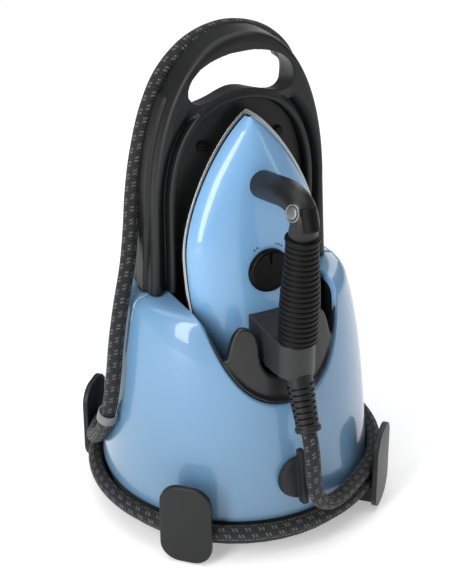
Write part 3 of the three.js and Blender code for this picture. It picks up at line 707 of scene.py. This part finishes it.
# ---- steam hose ----------------------------------------------------------------------------------
def hose_route():
    """The hose's points in millimetres, the same as in the part's source."""
    drop = [(0, -131.2, 123.4), (0, -135.6, 113), (0, -139.2, 99), (1, -140, 82),
            (4, -139.5, 66), (12, -137, 53), (26, -131.5, 46), (44, -121.5, 43)]
    low_turn = 27.0
    high_turn = low_turn + 2 * HOSE_RADIUS + 0.4
    turns = []
    for step in range(49):
        angle = 45 + 11.25 * step
        if angle < 360:
            z = lerp(high_turn, low_turn, smooth((angle - 168) / 24))
        else:
            z = lerp(low_turn, high_turn, smooth((angle - 528) / 24))
        bulge = 1 - smooth((abs(angle - 540) - 13) / 20)
        radius = WINDING_RADIUS + bulge * 13.6
        turns.append((radius * sin(radians(angle)), -radius * cos(radians(angle)), z))
    climb = [(-111.5, 60, 44), (-120.5, 31, 61), (-124.6, 4, 88), (-123.2, -8, 116),
             (-120, -11, 146), (-115.3, -8.5, 176), (-107.5, -3.5, 208), (-97, 5, 238),
             (-89.5, 13.5, 265), (-84.3, 19.2, 294), (-79, 19.3, 328), (-68.5, 19.3, 367),
             (-54, 19.3, 395), (-30, 19.3, 415.5), (0, 19.3, 422.8), (30, 19.3, 415.5),
             (49, 19.5, 401), (60.5, 23, 384), (65, 31, 362), (66, 35, 335),
             (66, 37, 290), (66, 39.5, 252), (66, 40, 224.3)]
    return [Vector(p) for p in drop + turns + climb]


def through(points, per_span=8):
    """A centripetal Catmull-Rom curve through the points, as a fine polyline."""
    points = [points[0] * 2 - points[1], *points, points[-1] * 2 - points[-2]]
    out = []
    for i in range(1, len(points) - 2):
        p = points[i - 1:i + 3]
        t = [0.0]
        for a, b in zip(p, p[1:]):
            t.append(t[-1] + max(1e-4, sqrt((b - a).length)))
        for k in range(per_span):
            s = lerp(t[1], t[2], k / per_span)
            a = [p[j].lerp(p[j + 1], (s - t[j]) / (t[j + 1] - t[j])) for j in range(3)]
            b = [a[j].lerp(a[j + 1], (s - t[j]) / (t[j + 2] - t[j])) for j in range(2)]
            out.append(b[0].lerp(b[1], (s - t[1]) / (t[2] - t[1])))
    out.append(points[-2])
    return out


HOSE = Line(through(hose_route()))
HOSE_LENGTH = HOSE.length


def steam_hose(material):
    steps = 1100
    around = 24
    bm = swept(HOSE, rounded(HOSE_RADIUS), steps, around)
    hose = finish_mesh(bm, "braided_hose", "base", material, ("steam_hose",))
    centres = [tuple(HOSE.share(i / steps) * MM) for i in range(steps + 1)]
    return hose


# ---- pieces made from a copy of their solid ------------------------------------------------------
def from_cad(node):
    """A merged copy of a solid's mesh, in millimetres."""
    bm = bmesh.new()
    bm.from_mesh(frame["nodes"][node].data)
    bmesh.ops.scale(bm, vec=(1000, 1000, 1000), verts=bm.verts)
    bmesh.ops.remove_doubles(bm, verts=bm.verts, dist=0.005)
    return bm


def bevelled(node, body, material, width, segments=3):
    """The solid with its edges rounded over."""
    bm = from_cad(node)
    bmesh.ops.dissolve_limit(bm, angle_limit=radians(0.8), verts=bm.verts, edges=bm.edges)
    piece = finish_mesh(bm, node + "_finished", body, material, (node,))
    bevel = piece.modifiers.new("edges", "BEVEL")
    bevel.width = width * MM
    bevel.segments = segments
    bevel.limit_method = "ANGLE"
    bevel.angle_limit = radians(30)
    bevel.harden_normals = True
    return piece


def softened(node, body, material, voxel, rounds):
    """The solid with every edge melted into a soft one."""
    bm = moulded([from_cad(node)], [], voxel, rounds)
    return finish_mesh(bm, node + "_finished", body, material, (node,))


# ---- shell -----------------------------------------------------------------------------------------
def draft(z):
    """How much of its depth the front keeps at a height."""
    return 1 - FRONT_DRAFT * max(0.0, z - FOOT_Z)


SHELL_LINE = Line([(r, z, 0) for r, z in chain(
    ((BASE_RADIUS - 1.2, FOOT_Z), (BASE_RADIUS - 0.2, FOOT_Z), (BASE_RADIUS, FOOT_Z + 0.4),
     (BASE_RADIUS, FOOT_Z + 1.6)),
    ((BASE_RADIUS, FOOT_Z + 1.6), (BASE_RADIUS - 2.5, 100), (SHOULDER_RADIUS + 12, 158),
     (SHOULDER_RADIUS, ROOF_Z - 11)),
    ((SHOULDER_RADIUS, ROOF_Z - 11), (SHOULDER_RADIUS - 2, ROOF_Z - 3.9),
     (SHOULDER_RADIUS - 7.3, ROOF_Z - 0.3), (SHOULDER_RADIUS - 16, ROOF_Z)),
    ((SHOULDER_RADIUS - 16, ROOF_Z), (2, ROOF_Z)), steps=60)])

SCOOP_EDGE = [bezier(((SCOOP_HALF, ROOF_Z), (SCOOP_HALF - 7, ROOF_Z - 35), (SCOOP_HALF - 20, LIP_Z),
                      (0, LIP_Z)), i / 80) for i in range(81)]


def scoop_half_width(z):
    """Half the scoop's width at a height, or -1 below its lip."""
    if z >= ROOF_Z:
        return SCOOP_HALF
    if z <= LIP_Z:
        return -1.0
    for (xa, za), (xb, zb) in zip(SCOOP_EDGE, SCOOP_EDGE[1:]):
        if zb <= z:
            return lerp(xb, xa, (z - zb) / max(za - zb, 1e-6))
    return -1.0


def shell_point(angle, distance):
    """The point at an angle from the front and a distance along the shell's profile."""
    r, z, _ = SHELL_LINE(distance)
    x, y = r * sin(angle), -r * cos(angle)
    if y < 0:
        y *= draft(z)
    return Vector((x, y, z))


def scooped(point):
    return point.y < RECESS_FLOOR + GAP and abs(point.x) < scoop_half_width(point.z)


def shell_edge(angle):
    """How far up its profile the shell reaches at an angle from the front."""
    steps = 240
    for i in range(steps):
        distance = SHELL_LINE.length * (i + 1) / steps
        if scooped(shell_point(angle, distance)):
            low, high = SHELL_LINE.length * i / steps, distance
            for _ in range(14):
                middle = (low + high) / 2
                if scooped(shell_point(angle, middle)):
                    high = middle
                else:
                    low = middle
            return low
    return SHELL_LINE.length


def outer_shell(material):
    """A conical shell whose scooped edge is rolled over, with a bay for the tank at the back."""
    columns, rows = 288, 92
    roll = 2.8
    wall_share = 0.86
    edges = {}

    def place(u, v):
        angle = 2 * pi * (round(u * columns) % columns) / columns - pi
        if angle not in edges:
            edges[angle] = shell_edge(angle)
        reach = edges[angle] - roll
        if v <= wall_share:
            return shell_point(angle, reach * v / wall_share)
        end = shell_point(angle, reach)
        along = (end - shell_point(angle, reach - 1)).normalized()
        across = (shell_point(angle + 0.01, reach) - shell_point(angle - 0.01, reach)).normalized()
        normal = across.cross(along).normalized()
        share = (v - wall_share) / (1 - wall_share)
        turn = min(1.0, share / 0.7) * pi / 2
        sink = max(0.0, share - 0.7) / 0.3 * 2.0
        return end + normal * (roll * (cos(turn) - 1) - sink) + along * (roll * sin(turn))

    bm = grid(columns, rows, place, closed=True)
    bay_x, bay_y, bay_z = 47.2, 48.8, 68.8
    for where, normal in (((bay_x, 0, 0), (1, 0, 0)), ((-bay_x, 0, 0), (1, 0, 0)),
                          ((0, bay_y, 0), (0, 1, 0)), ((0, 0, bay_z), (0, 0, 1))):
        faces = [f for f in bm.faces if f.calc_center_median().y > 30]
        geometry = set(faces)
        for face in faces:
            geometry.update(face.edges)
            geometry.update(face.verts)
        bmesh.ops.bisect_plane(bm, geom=list(geometry), dist=0.001, plane_co=where, plane_no=normal)
    inside = [f for f in bm.faces if abs(f.calc_center_median().x) < bay_x
              and f.calc_center_median().y > bay_y and f.calc_center_median().z > bay_z]
    bmesh.ops.delete(bm, geom=inside, context="FACES")
    return finish_mesh(bm, "shell", "base", material, ("outer_shell",))


# ---- arch ------------------------------------------------------------------------------------------
SPRING_Z = ROOF_Z + 74
OPENING_END_Z = ARCH_TOP - 41.5
SADDLE_BACK = 25.0
FLANK_OUT = 3.0
FLANK_TOP = 383.0
SEAM_LOW, SEAM_HIGH = 382.8, 384.4
RIM_RADIUS = 3.0
CUT_PAST = 5.0


def arch_outline(inset=0.0, foot=ROOF_Z + GAP):
    spring_x = ARCH_HALF - 3.8 - inset
    top = ARCH_TOP - inset
    curve = ((spring_x, SPRING_Z), (spring_x - 1.5, SPRING_Z + 75), (53 - inset / 2, top), (0, top))
    half = chain(((ARCH_HALF - inset, foot), (spring_x, SPRING_Z)), curve, steps=32)
    return half + [(-x, z) for x, z in reversed(half[:-1])]


def recess_outline(inset=0.0, foot=ROOF_Z + GAP):
    half_width = RECESS_HALF - inset
    top = RECESS_TOP - inset
    curve = ((half_width, SPRING_Z), (half_width, SPRING_Z + 45), (46 - inset, top), (0, top))
    half = chain(((half_width, foot), (half_width, SPRING_Z)), curve, steps=32)
    return half + [(-x, z) for x, z in reversed(half[:-1])]


def hand_opening(grow=0.0):
    """The outline of the hand opening: a bow above, a lobe at each end and a raised sill between."""
    top = ARCH_TOP - 15 + grow
    end_x = 47.5 + grow
    end_z = OPENING_END_Z
    lobe_x = end_x - 12.5
    lobe_z = ARCH_TOP - 54.5 - grow
    crown_z = ARCH_TOP - 47.5 - grow
    half = chain(
        ((0, top), (24, top), (end_x - 1, end_z + 17 + grow), (end_x, end_z)),
        ((end_x, end_z), (end_x + 1, end_z - 9), (end_x - 6, lobe_z - 0.5), (lobe_x, lobe_z)),
        ((lobe_x, lobe_z), (lobe_x - 11, lobe_z + 1), (14, crown_z), (0, crown_z)), steps=14)
    return half + [(-x, z) for x, z in reversed(half[1:-1])]


def wire(points, radius, y):
    """A round bar along an outline in the XZ plane."""
    line = Line([(x, y, z) for x, z in points])
    return swept(line, rounded(radius), 120, 10, up=Vector((0, 1, 0)))


def sloped_opening():
    """The hand opening as a cutter whose sill falls away towards the back."""
    bm = prism(hand_opening(), ARCH_FRONT - CUT_PAST, ARCH_BACK + 30)
    for vert in bm.verts:
        share = smooth((OPENING_END_Z - vert.co.z) / 10)
        vert.co.z += share * (1.5 - 0.3 * (vert.co.y - ARCH_FRONT))
    return bm


def fold_outline(side, near, far, top):
    """A strip beside the pocket's rim, from the arch's foot up to a height."""
    inner = [p for p in recess_outline(-near, ROOF_Z - 5) if p[0] > 0 and p[1] < top]
    outer = [p for p in recess_outline(-far, ROOF_Z - 5) if p[0] > 0 and p[1] < top + 3]
    return [(side * x, z) for x, z in inner + outer[::-1]]


# The fold's steps: near and far side from the pocket, depth, and height where it ends.
FOLD_STEPS = ((6.2, 9.0, 8.0, 361), (6.35, 11.0, 5.5, 364), (6.5, 13.0, 3.2, 368),
              (6.65, 15.5, 1.4, 371))
# The bow's front edge: how far in from the outline, and how far back from the front face.
BOW_STEPS = ((7.0, 0.0), (4.2, 0.6), (2.2, 1.7), (0.9, 3.4), (0.0, 6.0))


def stand_arch(material):
    """Carrying arch: a wide rounded bow, a fold inside it and a raised rim round the iron's pocket."""
    front = ARCH_FRONT
    rings = [(arch_outline(inset), front + depth) for inset, depth in BOW_STEPS]
    flank = [p for p in arch_outline(-FLANK_OUT, ROOF_Z + GAP + 0.15) if p[1] < FLANK_TOP]
    bodies = [stacked(rings + [(arch_outline(0.0), ARCH_BACK)]),
              prism(flank, front + 13, ARCH_BACK - 0.4),
              wire(recess_outline(-RIM_RADIUS), RIM_RADIUS, front + 1.2)]
    cuts = [prism(recess_outline(0.0, ROOF_Z - 5), front - CUT_PAST, RECESS_FLOOR), sloped_opening()]
    for side in (-1, 1):
        for near, far, depth, top in FOLD_STEPS:
            strip = fold_outline(side, near, far, top)
            cuts.append(prism(strip, front - CUT_PAST - near, front + depth))
        seam = [(90, SEAM_LOW), (55, SEAM_LOW), (55, SEAM_HIGH), (90, SEAM_HIGH)]
        cuts.append(prism([(side * x, z) for x, z in seam], 2.0, 20))
    bm = moulded(bodies, cuts, 1.0, 6)
    return finish_mesh(bm, "carrying_arch", "base", material, ("stand_arch",))


def over_opening(grow):
    """The upper edge of the hand opening, from left to right."""
    upper = [p for p in hand_opening(grow) if p[1] > ARCH_TOP - 38]
    return [p for p in upper if p[0] < 0] + [p for p in upper if p[0] >= 0]


def hose_saddle(material):
    """Thin ledge over the hand opening, behind the arch, that the hose lies on."""
    bm = prism(over_opening(0.4) + over_opening(2.0)[::-1], ARCH_BACK - 1, SADDLE_BACK)
    return finish_mesh(bm, "saddle_ledge", "base", material, ("hose_saddle",))


# ---- iron ------------------------------------------------------------------------------------------
def parked(x, y, z):
    """A point of the iron, drawn standing on its heel, in its parking place."""
    c, s = cos(IRON_LEAN), sin(IRON_LEAN)
    return Vector((x, y * c + z * s, z * c - y * s)) + IRON_HEEL


def sole_outline(inset):
    """Half of the sole's outline, from its nose down to the middle of its heel."""
    x, nose, heel, widest = SOLE_HALF - inset, SOLE_LENGTH - inset * 1.6, inset, 104.0
    return chain(
        ((0, nose), (26 - inset, nose - 14), (x, 148), (x, widest)),
        ((x, widest), (x, widest - 34), (x - 7, heel), (x - 29, heel)),
        ((x - 29, heel), (0, heel)), steps=40)


def half_width_at(z, inset):
    """Half the sole's width at a distance from its heel."""
    points = sole_outline(inset)
    for (xa, za), (xb, zb) in zip(points, points[1:]):
        if zb <= z <= za:
            return lerp(xb, xa, (z - zb) / max(za - zb, 1e-6))
    return 0.0


COVER_INSET = 2.2
# Distance from the heel, crown and fullness of the cover along its length.
COVER_STATIONS = [(4, 12, 0.7), (12, 22, 0.8), (30, 25.5, 0.84), (60, 26.5, 0.84), (96, 26, 0.82),
                  (130, 24.5, 0.78), (160, 23, 0.72), (185, 20, 0.66), (203, 14.5, 0.6),
                  (212, 9.5, 0.5), (217, 5, 0.5)]
COVER_LINE = through([Vector(s) for s in COVER_STATIONS], 10)
COVER_FOOT = -(3.0 + 1.6 + GAP)
DIAL_Z = 92
DOT_RING = 22.3


def iron_cover(material):
    """The iron's blue cover: one crowned skin over the sole, closed at the heel."""
    columns, rows = 96, len(COVER_LINE) - 1

    def place(u, v):
        z, crown, full = COVER_LINE[round(v * rows)]
        angle = pi * u
        across = cos(angle)
        side = (1 if across >= 0 else -1) * abs(across) ** full
        dome = sin(angle) ** (1.5 - full * 0.5)
        out = abs(side)
        shoulder = lerp(0.62, 0.34, smooth((z - 90) / 120))
        if out < shoulder:
            ridged = 1 - 0.1 * (out / shoulder) ** 2
        else:
            fall = (out - shoulder) / (1 - shoulder)
            ridged = 0.9 * (1 - fall) ** 0.72 * (1 + 0.25 * fall)
        up = lerp(dome, ridged, 0.85 * smooth((z - 110) / 70))
        return parked(half_width_at(z, COVER_INSET) * side, COVER_FOOT - up * crown, z)

    bm = grid(columns, rows, place)
    heel_end = parked(0, 0, 4)
    uphill = parked(0, 0, 1) - parked(0, 0, 0)
    heel = [e for e in bm.edges if e.is_boundary
            and all((heel_end - v.co).dot(uphill) > -0.2 for v in e.verts)]
    bmesh.ops.holes_fill(bm, edges=heel, sides=0)
    bmesh.ops.remove_doubles(bm, verts=bm.verts, dist=0.01)
    return finish_mesh(bm, "iron_shell", "iron", material, ("iron_cover",))


def dial(material):
    """Thermostat dial: flat face, bevelled rim and a wedge-shaped pointer groove."""
    foot = COVER_FOOT - 26.5
    centre = parked(0, foot, DIAL_Z)
    axis = parked(0, -1, 0) - parked(0, 0, 0)
    profile = chain(((0, 5.5), (14.6, 5.5)), ((14.6, 5.5), (15.2, 5.6), (15.6, 5.9), (16.2, 5.7)),
                    ((16.2, 5.7), (17.8, 5.0), (18.6, 3.2), (18.8, 0.9)), ((18.8, 0.9), (18.6, 0.0)),
                    ((18.6, 0), (3, 0)), ((3, 0), (3, -18)), steps=8)
    bm = turned(profile, 96, axis, centre)
    groove = prism([(-0.3, 6), (0.3, 6), (2.6, 19.5), (-2.6, 19.5)], foot - 8, foot - 4.1)
    for vert in groove.verts:
        vert.co = parked(vert.co.x, vert.co.y, vert.co.z + DIAL_Z)
    bm = carved(bm, groove)
    piece = finish_mesh(bm, "dial", "dial", material, ("temperature_dial",))
    bevel = piece.modifiers.new("edges", "BEVEL")
    bevel.width = 0.25 * MM
    bevel.segments = 2
    bevel.limit_method = "ANGLE"
    bevel.angle_limit = radians(35)
    return piece


def dial_dots(material):
    """Printed heat dots beside the dial: two on the left, three on the right."""
    bm = bmesh.new()
    outwards = parked(0, -1, 0) - parked(0, 0, 0)
    for angle in (-31, -23, 23, 30, 37):
        x = DOT_RING * sin(radians(angle))
        z = DIAL_Z + DOT_RING * cos(radians(angle))
        place = parked(x, COVER_FOOT - cover_height(x, z), z)
        lump(bm, turned([(0, 0.35), (0.55, 0.3), (0.8, 0.0), (0.8, -1.5)], 16, outwards, place))
    return finish_mesh(bm, "dial_dots", "iron", material)


def cover_height(x, z):
    """How high the cover stands over its foot at a place."""
    _, crown, full = min(COVER_LINE, key=lambda station: abs(station[0] - z))
    side = min(1.0, abs(x) / max(half_width_at(z, COVER_INSET), 1.0))
    angle = acos(side ** (1 / full))
    return crown * sin(angle) ** (1.5 - full * 0.5)


STEM_RADIUS = 11.7
STEM = Line(through([Vector((0, -30, 308)), Vector((0, -66, 316)), Vector((0, -92, 321)),
                     Vector((0, -109, 318.5)), Vector((0, -116.5, 308.5)),
                     Vector((0, GRIP_TOP.y, GRIP_TOP.z + 1.5))], 24))


def handle_stem(material):
    """The bent tube between the cover and the grip."""
    bm = swept(STEM, rounded(STEM_RADIUS), 120, 48)
    return finish_mesh(bm, "stem", "iron", material, ("handle_stem",))


def bend_cap(material):
    """Plain disc on the side of the handle's bend, in a raised ring."""
    facing = Vector((-0.917, -0.255, 0.306)).normalized()
    middle = Vector((0, -112.9, 314.3))
    profile = chain(((0, 1.3), (2.6, 1.4), (4.2, 1.1), (4.9, 0.7)),
                    ((4.9, 0.7), (5.0, 0.6)), ((5.0, 0.6), (5.1, -1.5)), steps=8)
    bm = turned(profile, 64, facing, middle + facing * (STEM_RADIUS + 0.1))
    ring = [(7.4, -1.0), (7.2, 0.4), (6.6, 0.8), (5.7, 0.4), (5.4, -1.0)]
    lump(bm, turned(ring, 64, facing, middle + facing * (STEM_RADIUS - 0.1)))
    return finish_mesh(bm, "bend_cap", "iron", material, ("handle_cap",))


def hand_grip(material):
    """Ribbed rubber grip with a smooth collar at its top."""
    line = Line([GRIP_TOP, GRIP_FOOT])
    length = line.length
    ribs = 19

    def ring(t, angle):
        s = t * length
        if s < 4.2:
            radius = 14.4 - 1.1 * (1 - smooth((s + 0.4) / 1.3)) - 0.9 * smooth((s - 2.6) / 1.4)
        else:
            radius = lerp(13.3, 16.3, smooth((s - 4) / 62))
            pitch = (length - 7.5) / ribs
            miss = abs((s - 5.2) % pitch - pitch / 2) if 5.2 < s < length - 2.2 else 0.0
            groove = smooth((miss - pitch / 2 + 0.85) / 0.7)
            bulge = 0.35 * (1 - (2 * miss / pitch) ** 2)
            radius += bulge - groove * 1.0
            if s > length - 2.2:
                radius -= 1.6 * smooth((s - length + 2.2) / 2.2)
        return radius * cos(angle), radius * sin(angle)

    bm = swept(line, ring, 420, 56)
    return finish_mesh(bm, "grip", "iron", material, ("hand_grip",))


def strain_relief(material):
    """Flexible sleeve with staggered slots down its sides and a plain collar at its end."""
    start = RELIEF_TOP + Vector((0, 0, 0.2))
    axis = (RELIEF_END - RELIEF_TOP).normalized()
    line = Line([start, RELIEF_END])
    length = line.length
    pitch = 5.0

    def ring(t, angle):
        s = t * length
        radius = lerp(11.6, 9.9, smooth(s / (length - 4)))
        if s > length - 4.2:
            upper_edge = 1 - smooth((s - length + 4.2) / 0.7)
            lower_edge = smooth((s - length + 0.8) / 0.8)
            radius = 11.0 - 0.6 * upper_edge - 0.6 * lower_edge
        elif s > 5:
            for k in range(int((length - 12) / pitch * 2)):
                middle = 8.0 + k * pitch / 2
                turn = ((angle - radians(60)) / pi + (0.5 if k % 2 else 0.0)) % 1.0
                along = 1 - smooth((abs(s - middle) - 0.35) / 0.45)
                across = 1 - smooth((abs(turn - 0.5) - 0.22) / 0.03)
                radius -= 2.4 * along * across
        return radius * cos(angle), radius * sin(angle)

    bm = swept(line, ring, 300, 96)
    return finish_mesh(bm, "relief_sleeve", "iron", material, ("strain_relief",))


def soleplate(material):
    """Thin polished sole with a rounded rim."""
    half = sole_outline(0.0)
    outline = half + [(-x, z) for x, z in reversed(half[1:-1])]
    bm = prism(outline, -3.0, 0.0)
    for vert in bm.verts:
        vert.co = parked(*vert.co)
    piece = finish_mesh(bm, "sole", "iron", material, ("soleplate",))
    bevel = piece.modifiers.new("rim", "BEVEL")
    bevel.width = 0.5 * MM
    bevel.segments = 3
    bevel.limit_method = "ANGLE"
    bevel.angle_limit = radians(50)
    return piece


# ---- build -----------------------------------------------------------------------------------------
def build():
    """Gives every solid its finish, then makes the pieces that stand in for the visible ones."""
    looks = {
        "shell_blue": shell_blue("shell_blue", *BASE_BLUE_WITH_PAINTED_SHADE), "black_satin": black_satin(),
        "black_matte": black_matte(), "rubber_black": rubber_black(),
        "polished_steel": polished_steel(), "steel": sheet_steel(),
        "cast_aluminium": cast_aluminium(), "tank_smoke": tank_smoke(), "board_green": board_green(),
        "lens_clear": lens_clear(), "hose_braid": hose_braid(), "clip_grey": clip_grey()}
    slots = {s["node"]: s["material_slot"] for s in frame["record"]["subparts"]}
    for node, thing in frame["nodes"].items():
        thing.data.materials.clear()
        thing.data.materials.append(looks[slots[node]])

    steam_hose(looks["hose_braid"])
    outer_shell(looks["shell_blue"])
    stand_arch(looks["black_satin"])
    softened("cradle_liner", "base", liner_mesh_black(), 0.95, 14)
    hose_saddle(looks["black_satin"])
    bevelled("arch_brace", "base", looks["black_satin"], 2.0, 4)
    iron_cover(shell_blue("iron_blue", *IRON_BLUE_WITH_PAINTED_SHADE))
    soleplate(looks["polished_steel"])
    dial(dial_black())
    handle_stem(looks["black_satin"])
    hand_grip(looks["rubber_black"])
    strain_relief(looks["black_satin"])
    softened("rear_bracket", "iron", heel_black(), 0.8, 4)
    softened("steam_button", "steam_trigger", looks["rubber_black"], 0.5, 4)
    for corner in ("front_left", "front_right", "rear_right", "rear_left"):
        bevelled("cord_hook_" + corner, "base", looks["black_satin"], 1.6, 4)
        bevelled("rubber_foot_" + corner, "base", looks["rubber_black"], 0.8)
    bevelled("drain_cap", "drain_plug", looks["black_matte"], 0.8)
    bevelled("base_pan", "base", looks["black_matte"], 0.8)
    bevelled("rest_plate", "base", looks["black_satin"], 0.6)
    bevelled("water_tank", "tank", looks["tank_smoke"], 0.8)
    bevelled("tank_lid", "filler_lid", looks["black_matte"], 0.7)
    bevelled("power_switch", "switch", looks["black_matte"], 0.6)
    bevelled("hose_clip", "base", looks["clip_grey"], 0.4)
    bend_cap(satin_metal())
    dial_dots(looks["black_matte"])


place_camera()
place_lamps()
lay_floor()
build()
